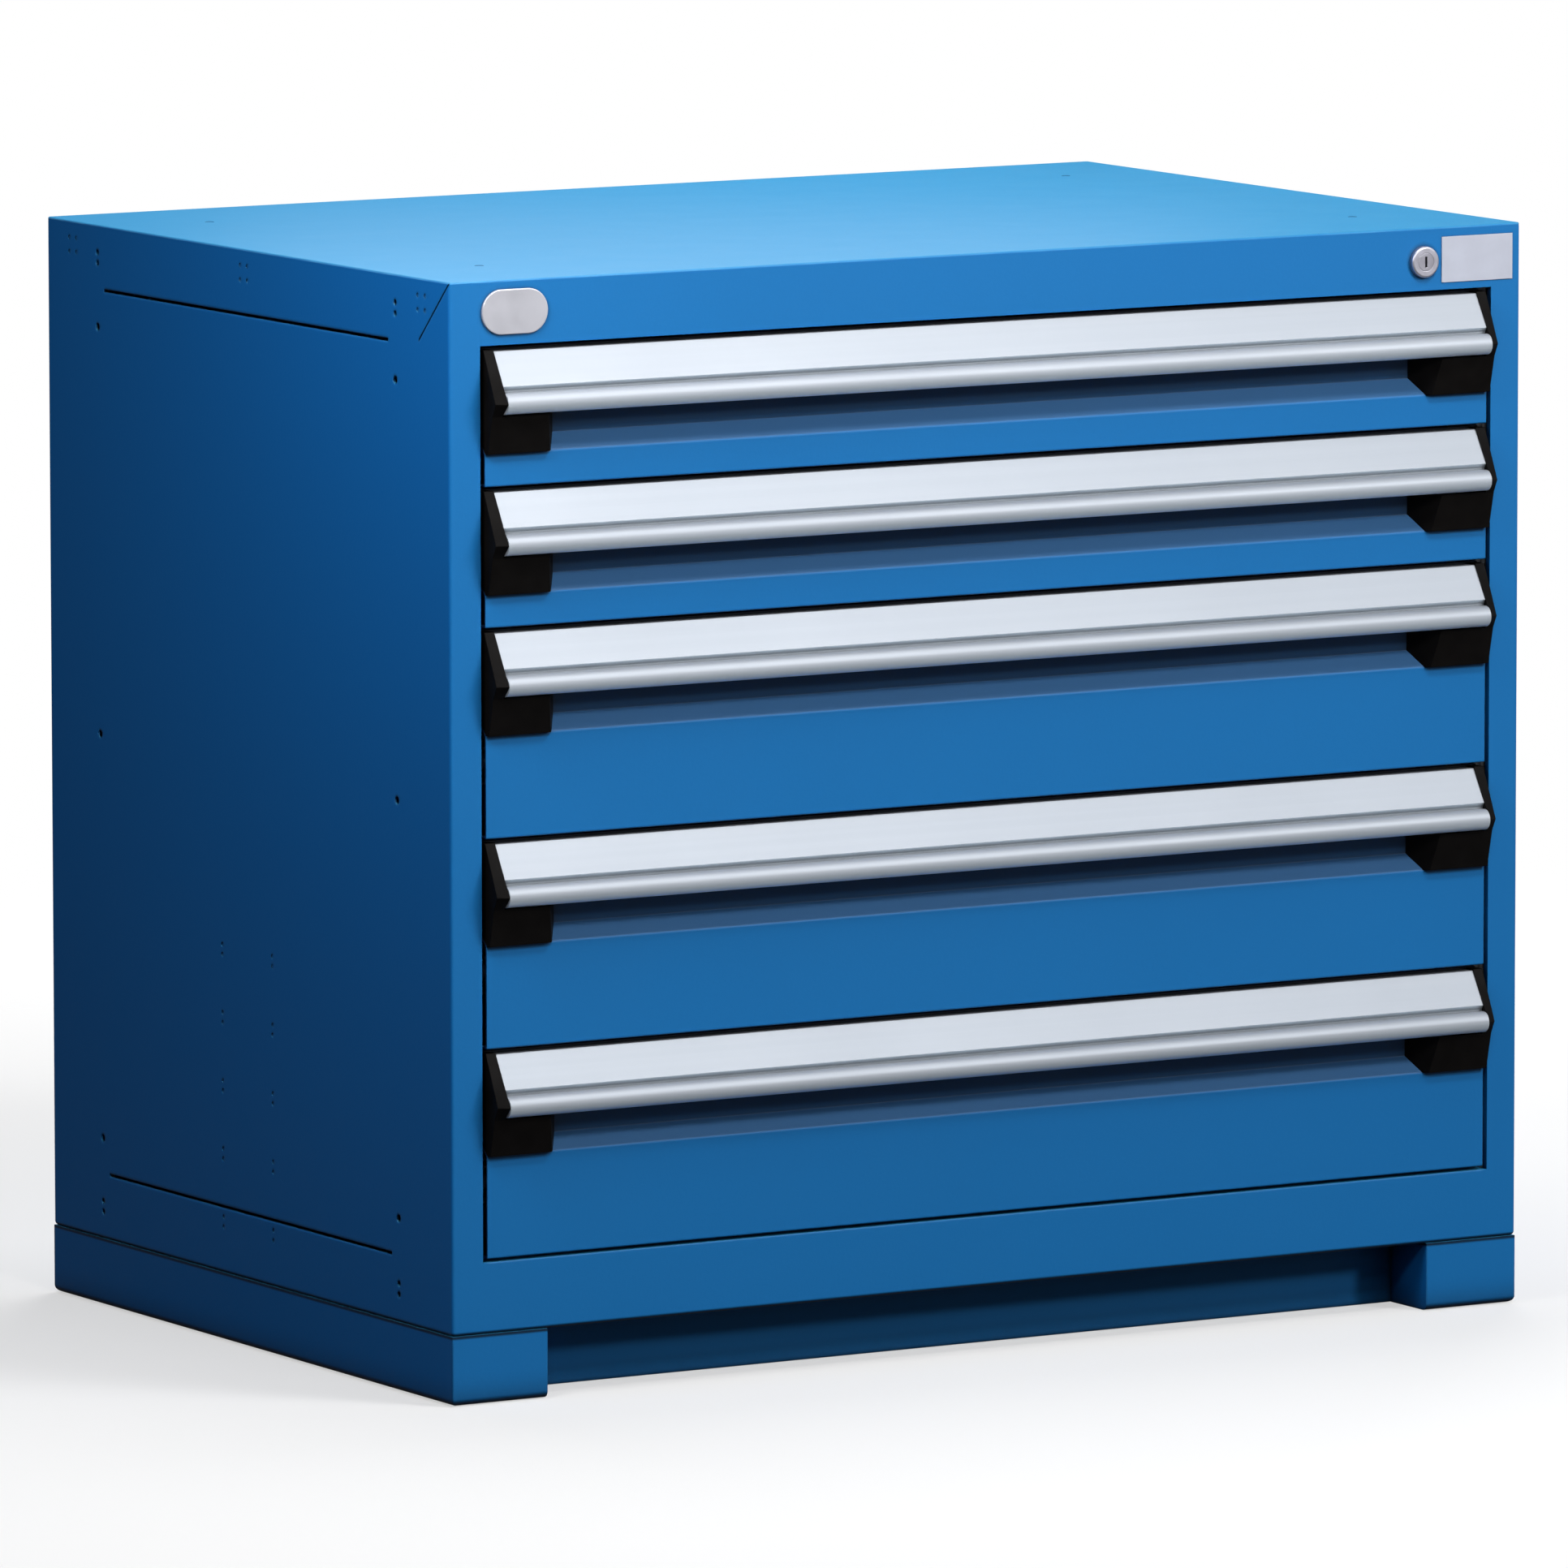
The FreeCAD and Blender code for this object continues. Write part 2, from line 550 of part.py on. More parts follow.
def slotted_post(name, near):
    """Post that the fixed rails hook into; near is the place of its front face."""
    body = new_body(name)
    web = "stile_width"
    far = f"({near} + post_depth)"
    plan = [(from_left(across), back) for across, back in [
        ("sheet", near), (web, near), (web, far), ("sheet", far),
        ("sheet", f"({far} - post_sheet)"), (f"{web} - post_sheet", f"({far} - post_sheet)"),
        (f"{web} - post_sheet", f"({near} + post_sheet)"), ("sheet", f"({near} + post_sheet)")]]
    add(body, "XY", FLOOR_TOP, HEADER_BOTTOM, [plan])
    centre = f"({near} + post_depth / 2)"
    lowest = f"({FLOOR_TOP} + post_slot_pitch)"
    slot = rectangle(f"({centre} - post_slot_width / 2)", f"({centre} + post_slot_width / 2)",
                     lowest, f"({lowest} + post_slot_height)")
    cut(body, "YZ", from_left(f"{web} - post_sheet"), from_left(web), [slot])
    first_slot = body.Tip
    row = body.newObject("PartDesign::LinearPattern", f"{name}_slots")
    row.Originals = [first_slot]
    row.Direction = (first_slot.Profile[0], ["V_Axis"])
    row.Mode = "Spacing"
    row.setExpression("Offset", bound("post_slot_pitch"))
    room = f"({HEADER_BOTTOM} - {FLOOR_TOP} - post_slot_pitch)"
    row.setExpression("Occurrences", bound(f"floor({room} / post_slot_pitch)"))
    body.Tip = row
    DOC.recompute()
    return body


# Base

def base_skirt():
    """Left side of the base with the closed corner that stands at the front."""
    body = new_body("base_skirt_left")

    def plan(points):
        return [(from_left(across), from_front(back)) for across, back in points]

    outside = plan([("0", "0"), ("foot_width", "0"), ("foot_width", "toe_depth"),
                    ("base_flange", "toe_depth"), ("base_flange", "cabinet_depth"),
                    ("0", "cabinet_depth")])
    add(body, "XY", "0", "base_height", [outside])
    outer = from_left("0")
    round_edges(body, "base_bend", {"x": outer, "z": "0"}, {"y": FRONT, "z": "0"},
                {"y": BACK, "z": "0"})
    past_flange = "base_flange + base_sheet"
    past_toe = "toe_depth + base_sheet"
    inside = plan([("base_sheet", "base_sheet"), ("foot_width - base_sheet", "base_sheet"),
                   ("foot_width - base_sheet", past_toe), (past_flange, past_toe),
                   (past_flange, "cabinet_depth - base_sheet"),
                   ("base_sheet", "cabinet_depth - base_sheet")])
    cut(body, "XY", "base_sheet", "(base_height - base_sheet)", [inside])
    anchors = [(from_left("anchor_from_side"), place, "anchor_radius")
               for place in (from_front("anchor_inset"), from_back("anchor_inset"))]
    cut(body, "XY", "0", "base_sheet", circles=anchors)
    bolts = [(from_left("bolt_from_side"), place, "(bolt_radius + bolt_clearance)")
             for place in (from_front("bolt_inset"), from_back("bolt_inset"))]
    cut(body, "XY", "(base_height - base_sheet)", "base_height", circles=bolts)
    return body


def base_rail(label, face, inwards):
    """Channel between the skirts; inwards is + where its folds run to the back."""
    body = new_body(label)

    def place(depth):
        return f"({face} {inwards} ({depth}))"

    section = [(place(back), height) for back, height in [
        ("0", "0"), ("base_flange", "0"), ("base_flange", "base_sheet"),
        ("base_sheet", "base_sheet"), ("base_sheet", "(base_height - base_sheet)"),
        ("base_flange", "(base_height - base_sheet)"), ("base_flange", "base_height"),
        ("0", "base_height")]]
    add(body, "YZ", from_left("base_flange"), from_right("base_flange"), [section])
    return body


def base_bolt(name, back):
    """Bolt up through the base and the housing floor, with its nut on top."""
    across = from_left("bolt_from_side")
    seat = "(base_height - base_sheet)"
    bolt = new_body(f"{name}_bolt")
    add(bolt, "XY", f"({seat} - bolt_head_height)", seat,
        [hexagon(across, back, "bolt_head_flats")])
    nut_top = f"({FLOOR_TOP} + nut_height)"
    add(bolt, "XY", seat, nut_top, circles=[(across, back, "bolt_radius")])
    nut = new_body(f"{name}_nut")
    bore = (across, back, "(bolt_radius + pin_clearance)")
    add(nut, "XY", FLOOR_TOP, nut_top, [hexagon(across, back, "bolt_head_flats")], [bore])
    return [bolt, nut]


def base_bolts():
    left = base_bolt("front", from_front("bolt_inset")) + base_bolt("rear", from_back("bolt_inset"))
    right = [mirrored(f"{piece.Name}_right", piece) for piece in left]
    return group("base_bolts", left + right)


# Lock

LOCK_X = from_right("lock_from_side")
LOCK_Z = f"({TOP} - lock_from_top)"
CRANK_OFFSET = "(crank_radius / sqrt(2))"
CAM_FRONT = "(lock_barrel_length + cam_gap)"
CAM_BACK = f"({CAM_FRONT} + cam_width)"


def lock_housing():
    body = new_body("lock_housing")
    face = from_front("-lock_face_height")
    add(body, "XZ", face, FRONT, circles=[(LOCK_X, LOCK_Z, "lock_face_radius")])
    round_edges(body, "lock_face_rounding", {"y": face})
    back = from_front("lock_barrel_length")
    add(body, "XZ", FRONT, back, circles=[(LOCK_X, LOCK_Z, "lock_barrel_radius")])
    cut(body, "XZ", face, back, circles=[(LOCK_X, LOCK_Z, "(plug_radius + plug_clearance)")])
    return body


def lock_nut():
    body = new_body("lock_nut")
    add(body, "XZ", from_front("sheet"), from_front("sheet + lock_nut_width"),
        [hexagon(LOCK_X, LOCK_Z, "lock_nut_flats")],
        [(LOCK_X, LOCK_Z, "(lock_barrel_radius + pin_clearance)")])
    return body


def lock_plug():
    """Key plug with the cam disc and the pin that works the lock bar."""
    body = new_body("lock_plug")
    face = from_front("-lock_face_height")
    add(body, "XZ", face, from_front(CAM_FRONT), circles=[(LOCK_X, LOCK_Z, "plug_radius")])
    slot = rectangle(f"({LOCK_X} - key_slot_width / 2)", f"({LOCK_X} + key_slot_width / 2)",
                     f"({LOCK_Z} - key_slot_height / 2)", f"({LOCK_Z} + key_slot_height / 2)")
    cut(body, "XZ", face, f"({face} + key_slot_depth)", [slot])
    add(body, "XZ", from_front(CAM_FRONT), from_front(CAM_BACK),
        circles=[(LOCK_X, LOCK_Z, "cam_radius")])
    pin = (f"({LOCK_X} + {CRANK_OFFSET})", f"({LOCK_Z} + {CRANK_OFFSET})", "crank_pin_radius")
    add(body, "XZ", from_front(CAM_BACK), from_front(f"{CAM_BACK} + crank_pin_length"),
        circles=[pin])
    return body


def lock_bar():
    """Flat bar behind the right stile, with a welded hook for each drawer and an arm to the cam."""
    outer = from_right("bar_from_side")
    inner = from_right("bar_from_side + bar_width")
    near = from_front("bar_front")
    far = from_front("bar_front + bar_thickness")
    slot_z = f"({LOCK_Z} + {CRANK_OFFSET})"
    arm_low = f"({slot_z} - bar_arm_half_height)"
    arm_high = f"({slot_z} + bar_arm_half_height)"
    lowest = f"({bottom_line(len(DRAWERS) - 1)} + hook_rise - hook_height / 2)"
    strip = new_body("lock_bar_strip")
    add(strip, "XZ", near, far, [rectangle(inner, outer, lowest, arm_high)])
    hooks = []
    for index in range(len(DRAWERS)):
        low = f"({bottom_line(index)} + hook_rise)"
        outline = rectangle(from_right("hook_reach"), inner, low, f"({low} + hook_height)")
        hook = new_body(f"lock_hook_{index + 1}")
        add(hook, "XZ", near, far, [outline])
        hooks.append(hook)
    arm = new_body("lock_bar_arm")
    arm_near = from_front(f"{CAM_BACK} + bar_arm_gap")
    arm_far = from_front(f"{CAM_BACK} + bar_arm_gap + bar_arm_thickness")
    knee = from_right("bar_from_side + bar_width - bar_thickness")
    add(arm, "XZ", far, arm_far, [rectangle(inner, knee, arm_low, arm_high)])
    arm_tip = f"({LOCK_X} - crank_pin_radius)"
    add(arm, "XZ", arm_near, arm_far, [rectangle(arm_tip, inner, arm_low, arm_high)])
    half_slot = "(crank_pin_radius + crank_pin_clearance)"
    slot = rectangle(f"({LOCK_X} + {CRANK_OFFSET} - {half_slot})",
                     f"({LOCK_X} + crank_radius + {half_slot})",
                     f"({slot_z} - {half_slot})", f"({slot_z} + {half_slot})")
    cut(arm, "XZ", arm_near, arm_far, [slot])
    return group("lock_bar", [strip, *hooks, arm])


def lock_bar_guide(index):
    """Strap on the front post that the lock bar slides behind."""
    body = new_body(f"lock_bar_guide_{index}")
    inside_left = from_right("bar_from_side + bar_width + guide_clearance")
    inside_right = from_right("bar_from_side - guide_clearance")
    inside_front = from_front("bar_front - guide_clearance")
    seat = from_front("front_post_inset")
    plan = [(f"({inside_left} - guide_wall)", seat),
            (f"({inside_left} - guide_wall)", f"({inside_front} - guide_wall)"),
            (f"({inside_right} + guide_wall)", f"({inside_front} - guide_wall)"),
            (f"({inside_right} + guide_wall)", seat),
            (inside_right, seat), (inside_right, inside_front),
            (inside_left, inside_front), (inside_left, seat)]
    low = f"({bottom_line(index)} + guide_rise)"
    add(body, "XY", low, f"({low} + guide_height)", [plan])
    return body


# Blank plates on the header

def blank_label():
    body = new_body("blank_label")
    outline = rectangle(from_right("label_from_side + label_width"), from_right("label_from_side"),
                        f"({TOP} - label_from_top - label_height)", f"({TOP} - label_from_top)")
    add(body, "XZ", from_front("-label_thickness"), FRONT, [outline])
    return body


def blank_badge():
    """Plain badge with round ends."""
    body = new_body("blank_badge")
    radius = "(badge_height / 2)"
    centre_z = f"({TOP} - badge_from_top - {radius})"
    left = from_left(f"badge_from_side + {radius}")
    right = from_left(f"badge_from_side + badge_width - {radius}")
    face = from_front("-badge_thickness")
    middle = rectangle(left, right, f"({centre_z} - {radius})", f"({centre_z} + {radius})")
    add(body, "XZ", face, FRONT, [middle])
    add(body, "XZ", face, FRONT, circles=[(left, centre_z, radius)])
    add(body, "XZ", face, FRONT, circles=[(right, centre_z, radius)])
    round_edges(body, "badge_rounding", {"y": face})
    return body


# Slides, from the housing inwards: fixed rail, middle section, drawer section

RAIL_WEB = "stile_width"
RAIL_TIP = f"({RAIL_WEB} + slide_sheet + slide_flange)"
CARRIAGE_WEB = f"({RAIL_TIP} + slide_side_gap)"
CARRIAGE_TIP = f"({CARRIAGE_WEB} + slide_sheet + slide_flange)"
RUNNER_WEB = f"({CARRIAGE_TIP} + slide_side_gap)"
TRAY_SIDE = f"({RUNNER_WEB} + slide_sheet)"
CARRIED_RISE = "(slide_sheet + roller_rise + 2 * roller_radius + roller_gap)"


def slide_bottom(index):
    return f"({bottom_line(index)} + slide_rise)"


def channel_section(web, base):
    """A channel open towards the drawer, its web face at the given place."""
    tip = f"{web} + slide_sheet + slide_flange"
    back = f"{web} + slide_sheet"
    top = f"({base} + slide_height)"
    return [(from_left(across), height) for across, height in [
        (web, base), (tip, base), (tip, f"({base} + slide_sheet)"),
        (back, f"({base} + slide_sheet)"), (back, f"({top} - slide_sheet)"),
        (tip, f"({top} - slide_sheet)"), (tip, top), (web, top)]]


def carried_fold(web, base):
    """Fold that rides on the rollers of the section outside it."""
    low = f"({base} + {CARRIED_RISE})"
    return rectangle(from_left(f"{web} - slide_flange"), from_left(web),
                     low, f"({low} + slide_sheet)")


def guide_shoe(web, base):
    """Outline of the shoe that keeps a section level inside the one outside it."""
    return rectangle(from_left(f"{web} - slide_flange"), from_left(web),
                     f"({base} + slide_sheet + shoe_gap)",
                     f"({base} + slide_height - slide_sheet - shoe_gap)")


def add_roller_pin(body, web, base, place):
    """Pin with a head, standing from a section's web."""
    start = f"{web} + slide_sheet"
    head = f"{start} + roller_side_gap + roller_width + pin_head_gap"
    height = f"({base} + slide_sheet + roller_rise + roller_radius)"
    add(body, "YZ", from_left(start), from_left(head), circles=[(place, height, "pin_radius")])
    add(body, "YZ", from_left(head), from_left(f"{head} + pin_head_width"),
        circles=[(place, height, "pin_head_radius")])


def fixed_rail(index):
    body = new_body(f"fixed_rail_{index}")
    base = slide_bottom(index)
    front = from_front("slide_front_inset")
    add(body, "XZ", front, from_back("slide_rear_inset"), [channel_section(RAIL_WEB, base)])
    add_roller_pin(body, RAIL_WEB, base, f"({front} + roller_setback)")
    return body


def carriage(index):
    body = new_body(f"carriage_{index}_left")
    base = slide_bottom(index)
    front = from_front("carriage_front_inset")
    back = f"({front} + slide_length)"
    add(body, "XZ", front, back, [channel_section(CARRIAGE_WEB, base)])
    add(body, "XZ", front, back, [carried_fold(CARRIAGE_WEB, base)])
    add(body, "XZ", f"({back} - shoe_length)", back, [guide_shoe(CARRIAGE_WEB, base)])
    add_roller_pin(body, CARRIAGE_WEB, base, f"({front} + roller_setback)")
    return body


def runner(index):
    """Drawer section, fixed to the side of the tray."""
    body = new_body(f"runner_{index}_left")
    base = slide_bottom(index)
    front = from_front("runner_front_inset")
    back = from_front("grip_depth + front_sheet + tray_depth")
    web = rectangle(from_left(RUNNER_WEB), from_left(TRAY_SIDE), base, f"({base} + slide_height)")
    add(body, "XZ", front, back, [web])
    add(body, "XZ", front, back, [carried_fold(RUNNER_WEB, base)])
    add(body, "XZ", f"({back} - shoe_length)", back, [guide_shoe(RUNNER_WEB, base)])
    return body


def roller(name, index, web, front):
    body = new_body(name)
    start = f"{web} + slide_sheet + roller_side_gap"
    place = f"({front} + roller_setback)"
    height = f"({slide_bottom(index)} + slide_sheet + roller_rise + roller_radius)"
    add(body, "YZ", from_left(start), from_left(f"{start} + roller_width"),
        circles=[(place, height, "roller_radius"),
                 (place, height, "(pin_radius + pin_clearance)")])
    return body


# Drawers

def drawer_front(index):
    """Front sheet: flat below, then a slope back to the recess behind the handle."""
    body = new_body(f"drawer_front_{index + 1}")
    bottom = f"({bottom_line(index)} + drawer_gap / 2)"
    crease = f"({top_line(index)} - grip_height)"
    top = f"({top_line(index)} - drawer_gap / 2)"
    slant = "front_sheet * sqrt(2)"
    section = [(from_front(back), height) for back, height in [
        ("0", bottom), ("front_fold", bottom), ("front_fold", f"({bottom} + front_sheet)"),
        ("front_sheet", f"({bottom} + front_sheet)"),
        ("front_sheet", f"({crease} + front_sheet - {slant})"),
        ("grip_depth + front_sheet", f"({crease} + grip_depth + front_sheet - {slant})"),
        ("grip_depth + front_sheet", top), ("grip_depth", top),
        ("grip_depth", f"({crease} + grip_depth)"), ("0", crease)]]
    add(body, "YZ", from_left(FRONT_EDGE), from_right(FRONT_EDGE), [section])
    round_edges(body, "front_bend", {"y": FRONT, "z": bottom})
    round_edges(body, "crease_bend", {"y": FRONT, "z": crease})
    return body


def handle(index):
    """Extruded grip across the drawer: a sloping flat over a round edge."""
    body = new_body(f"handle_{index + 1}")
    top = f"({top_line(index)} - handle_top_drop)"
    nose_y = "handle_top_inset - handle_run"
    nose_z = f"({top} - handle_fall)"
    step_y = f"{nose_y} + handle_step_run"
    step_z = f"({nose_z} - handle_step_fall)"
    roll_y = from_front("handle_roll_radius - handle_reach")
    roll_z = f"({top_line(index)} - handle_roll_drop)"
    slope = "(handle_wall * sqrt(handle_run ^ 2 + handle_fall ^ 2) / handle_fall)"
    section = [(from_front(back), height) for back, height in [
        ("grip_depth", top), ("handle_top_inset", top), (nose_y, nose_z), (step_y, step_z),
        (step_y, f"({roll_z} + handle_roll_radius - handle_wall)"),
        (f"{step_y} + handle_wall", f"({roll_z} + handle_roll_radius - handle_wall)"),
        (f"{step_y} + handle_wall", f"({nose_z} - handle_step_run)"),
        (f"{nose_y} + {slope}", nose_z),
        (f"handle_top_inset + {slope} - handle_wall * handle_run / handle_fall",
         f"({top} - handle_wall)"),
        ("grip_depth", f"({top} - handle_wall)")]]
    left = from_left("handle_end_inset")
    right = from_right("handle_end_inset")
    add(body, "YZ", left, right, [section])
    round_edges(body, "handle_wall / 2", {"y": from_front("handle_top_inset"), "z": top})
    add(body, "YZ", left, right, circles=[(roll_y, roll_z, "handle_roll_radius")])
    cut(body, "YZ", left, right,
        circles=[(roll_y, roll_z, "(handle_roll_radius - handle_wall)")])
    return body


def end_cap(index):
    """Black cap that closes the handle's end and stands on the drawer front."""
    body = new_body(f"end_cap_{index + 1}_left")
    line = top_line(index)

    def profile(nose_inset, grip_inset, foot_inset):
        """The cap's outline, its front drawn in towards the cabinet."""
        nose = "handle_top_inset - handle_run"
        return [(from_front(back), f"({line} - ({drop}))") for back, drop in [
            ("grip_depth", "cap_top_drop"), ("handle_top_inset - cap_lap", "cap_top_drop"),
            (f"{nose} - cap_lap + {nose_inset}", "handle_top_drop + handle_fall"),
            (f"-handle_reach + {grip_inset}", "handle_roll_drop"),
            (f"-cap_wing_front + {foot_inset}", "cap_wing_top"),
            ("-cap_toe_front", "grip_height"), ("0", "grip_height"),
            ("grip_depth", "grip_height - grip_depth")]]

    outer = new_sketch(body, "YZ", from_left(FRONT_EDGE))
    draw_outline(outer, profile("cap_nose_inset", "cap_grip_inset", "cap_foot_inset"))
    inner = new_sketch(body, "YZ", from_left("handle_end_inset"))
    draw_outline(inner, profile("0", "0", "0"))
    loft = body.newObject("PartDesign::AdditiveLoft", f"{body.Name}_loft")
    loft.Profile = outer
    loft.Sections = [inner]
    loft.Ruled = True
    body.Tip = loft
    DOC.recompute()
    wing = [(from_front(back), f"({line} - ({drop}))") for back, drop in [
        ("grip_depth", "cap_wing_top"), ("-cap_wing_front", "cap_wing_top"),
        ("-cap_toe_front", "grip_height"), ("0", "grip_height"),
        ("grip_depth", "grip_height - grip_depth")]]
    wing_end = "handle_end_inset + cap_wing_length + cap_wing_flare"
    add(body, "YZ", from_left("handle_end_inset"), from_left(wing_end), [wing])
    tip = "handle_end_inset + cap_wing_length"
    wedge = [(from_left(tip), from_front("-cap_wing_front")),
             (from_left(wing_end), from_front("-cap_wing_front")),
             (from_left(wing_end), from_front("grip_depth"))]
    cut(body, "XY", f"({line} - grip_height)", f"({line} - cap_wing_top)", [wedge])
    return body


def tray(index):
    """Open tray, with the catch at its right side."""
    shell = new_body(f"tray_shell_{index + 1}")
    left = from_left(TRAY_SIDE)
    right = from_right(TRAY_SIDE)
    near = from_front("grip_depth + front_sheet")
    far = f"({near} + tray_depth)"
    low = f"({bottom_line(index)} + tray_floor_rise)"
    high = f"({top_line(index)} - tray_top_drop)"
    add(shell, "XY", low, high, [rectangle(left, right, near, far)])
    inside = rectangle(f"({left} + tray_wall)", f"({right} - tray_wall)",
                       f"({near} + tray_wall)", f"({far} - tray_wall)")
    cut(shell, "XY", f"({low} + tray_wall)", high, [inside])
    return group(f"drawer_tray_{index + 1}", [shell, lock_catch(index)])


def lock_catch(index):
    """Angle on the tray's right side, which stands behind the hook when the lock is shut."""
    body = new_body(f"lock_catch_{index + 1}")
    low = f"({bottom_line(index)} + tray_floor_rise)"
    near = from_front("bar_front + bar_thickness + catch_play")
    side = from_right(TRAY_SIDE)
    plan = [(from_right("catch_from_side"), near), (side, near),
            (side, f"({near} + catch_length)"),
            (f"({side} + catch_sheet)", f"({near} + catch_length)"),
            (f"({side} + catch_sheet)", f"({near} + catch_sheet)"),
            (from_right("catch_from_side"), f"({near} + catch_sheet)")]
    add(body, "XY", low, f"({low} + catch_height)", [plan])
    return body


# Assembly

side_left = side_panel()
keep(side_left, mirrored("side_panel_right", side_left))
keep(top_panel(), back_panel(), floor_panel(), header(), sill())

front_post = slotted_post("front_post", from_front("front_post_inset"))
rear_post = slotted_post("rear_post", from_back("rear_post_inset + post_depth"))
keep(group("slotted_posts", [front_post, mirrored("front_post_right", front_post),
                             rear_post, mirrored("rear_post_right", rear_post)]))

skirt = base_skirt()
keep(skirt, mirrored("base_skirt_right", skirt))
toe = base_rail("toe_panel", from_front("toe_depth"), "+")
rear = base_rail("base_rear_rail", BACK, "-")
round_edges(rear, "base_bend", {"y": BACK, "z": "0"})
keep(toe, rear, base_bolts())

keep(group("lock_cylinder", [lock_housing(), lock_nut()]), lock_plug(), lock_bar())
keep(group("lock_bar_guides", [lock_bar_guide(index) for index in (0, 2, 4)]))
keep(blank_label(), blank_badge())

rails = []
for index in range(len(DRAWERS)):
    number_of_drawer = index + 1
    rail = fixed_rail(index)
    rails += [rail, mirrored(f"{rail.Name}_right", rail)]
    rail_roller = roller(f"rail_roller_{index}", index, RAIL_WEB, from_front("slide_front_inset"))
    carriage_roller = roller(f"carriage_roller_{index}", index, CARRIAGE_WEB,
                             from_front("carriage_front_inset"))
    keep(pair(f"rail_rollers_{number_of_drawer}", rail_roller))
    keep(pair(f"slide_carriage_{number_of_drawer}", carriage(index)))
    keep(pair(f"carriage_rollers_{number_of_drawer}", carriage_roller))
    keep(pair(f"drawer_runners_{number_of_drawer}", runner(index)))
    keep(drawer_front(index), handle(index), tray(index))
    keep(pair(f"end_caps_{number_of_drawer}", end_cap(index)))
keep(group("slide_rails", rails))

DOC.recompute()

for item in DOC.Objects:
    assert not {"Invalid", "Error"} & set(item.State), f"{item.Label} is {item.State}"
for subpart in SUBPARTS:
    assert not subpart.Shape.isNull() and subpart.Shape.isValid(), f"{subpart.Label} is not valid"

os.makedirs("parts", exist_ok=True)
for subpart in SUBPARTS:
    subpart.Shape.exportStep(f"parts/{subpart.Label}.step")
print(len(SUBPARTS), "sub-parts")
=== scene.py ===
import json
import math

import bpy
from mathutils import Matrix, Vector


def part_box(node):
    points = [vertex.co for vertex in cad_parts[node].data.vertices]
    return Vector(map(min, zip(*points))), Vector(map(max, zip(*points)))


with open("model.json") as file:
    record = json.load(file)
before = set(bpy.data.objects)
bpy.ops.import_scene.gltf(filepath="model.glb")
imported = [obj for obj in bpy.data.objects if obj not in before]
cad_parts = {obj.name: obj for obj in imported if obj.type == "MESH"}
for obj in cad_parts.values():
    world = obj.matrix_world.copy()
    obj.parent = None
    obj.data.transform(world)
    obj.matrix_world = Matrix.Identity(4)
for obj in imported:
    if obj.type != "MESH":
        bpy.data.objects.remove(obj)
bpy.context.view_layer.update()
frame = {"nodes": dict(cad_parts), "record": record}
nodes = frame["nodes"]


# Places taken from the frame, in metres

side_low, side_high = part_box("side_panel_left")
HOUSING_LEFT, HOUSING_FRONT = side_low.x, side_low.y
BASE_JOINT = side_low.z
TOP_JOINT = side_high.z
HEADER_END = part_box("front_header")[1].x
SILL_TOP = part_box("front_sill")[1].z
lock_low, lock_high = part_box("lock_cylinder")
LOCK_CENTRE = ((lock_low.x + lock_high.x) / 2, (lock_low.z + lock_high.z) / 2)


# Colours

BLUE = (0.0085, 0.2, 0.555)
# Painted shade: the deeper blue of faces that look sideways
SIDE_PAINTED_SHADE = (0.004, 0.168, 0.56)
# Painted light: the paler blue of faces that look up; on the drawers, painted shade and sheen
# on the slopes
UPWARD_PAINTED_LIGHT = (0.03, 0.262, 0.515)
DRAWER_UPWARD_SHADE_AND_SHEEN = (0.05, 0.158, 0.35)
# Painted highlights along edges, folds and the top panel's rim
EDGE_PAINTED_HIGHLIGHT = (0.09, 0.26, 0.58)
FOLD_PAINTED_HIGHLIGHT = (0.05, 0.30, 0.64)
RIM_PAINTED_HIGHLIGHT = (0.13, 0.47, 0.76)
ALUMINIUM, PALE_ALUMINIUM = (0.43, 0.463, 0.511), (0.444, 0.478, 0.525)
WORN_ALUMINIUM = (0.80, 0.82, 0.86)
# Painted reflection on the aluminium's faces that look down, paler and bluer
UNDERSIDE_PAINTED_REFLECTION = (0.80, 0.90, 1.0)
BLACK, GREY_BLACK = (0.0034, 0.0028, 0.0026), (0.0062, 0.0053, 0.005)
WORN_BLACK = (0.014, 0.013, 0.012)
ZINC = (0.60, 0.62, 0.64)
YELLOW_ZINC = (0.60, 0.60, 0.58)
BRIGHT_STEEL = (0.50, 0.51, 0.53)
NICKEL = (0.54, 0.53, 0.60)
PLUG_NICKEL = (0.46, 0.45, 0.51)
LABEL = (0.62, 0.65, 0.76)
BADGE = (0.66, 0.66, 0.72)
WHITE = (1.0, 1.0, 1.0)


# Materials

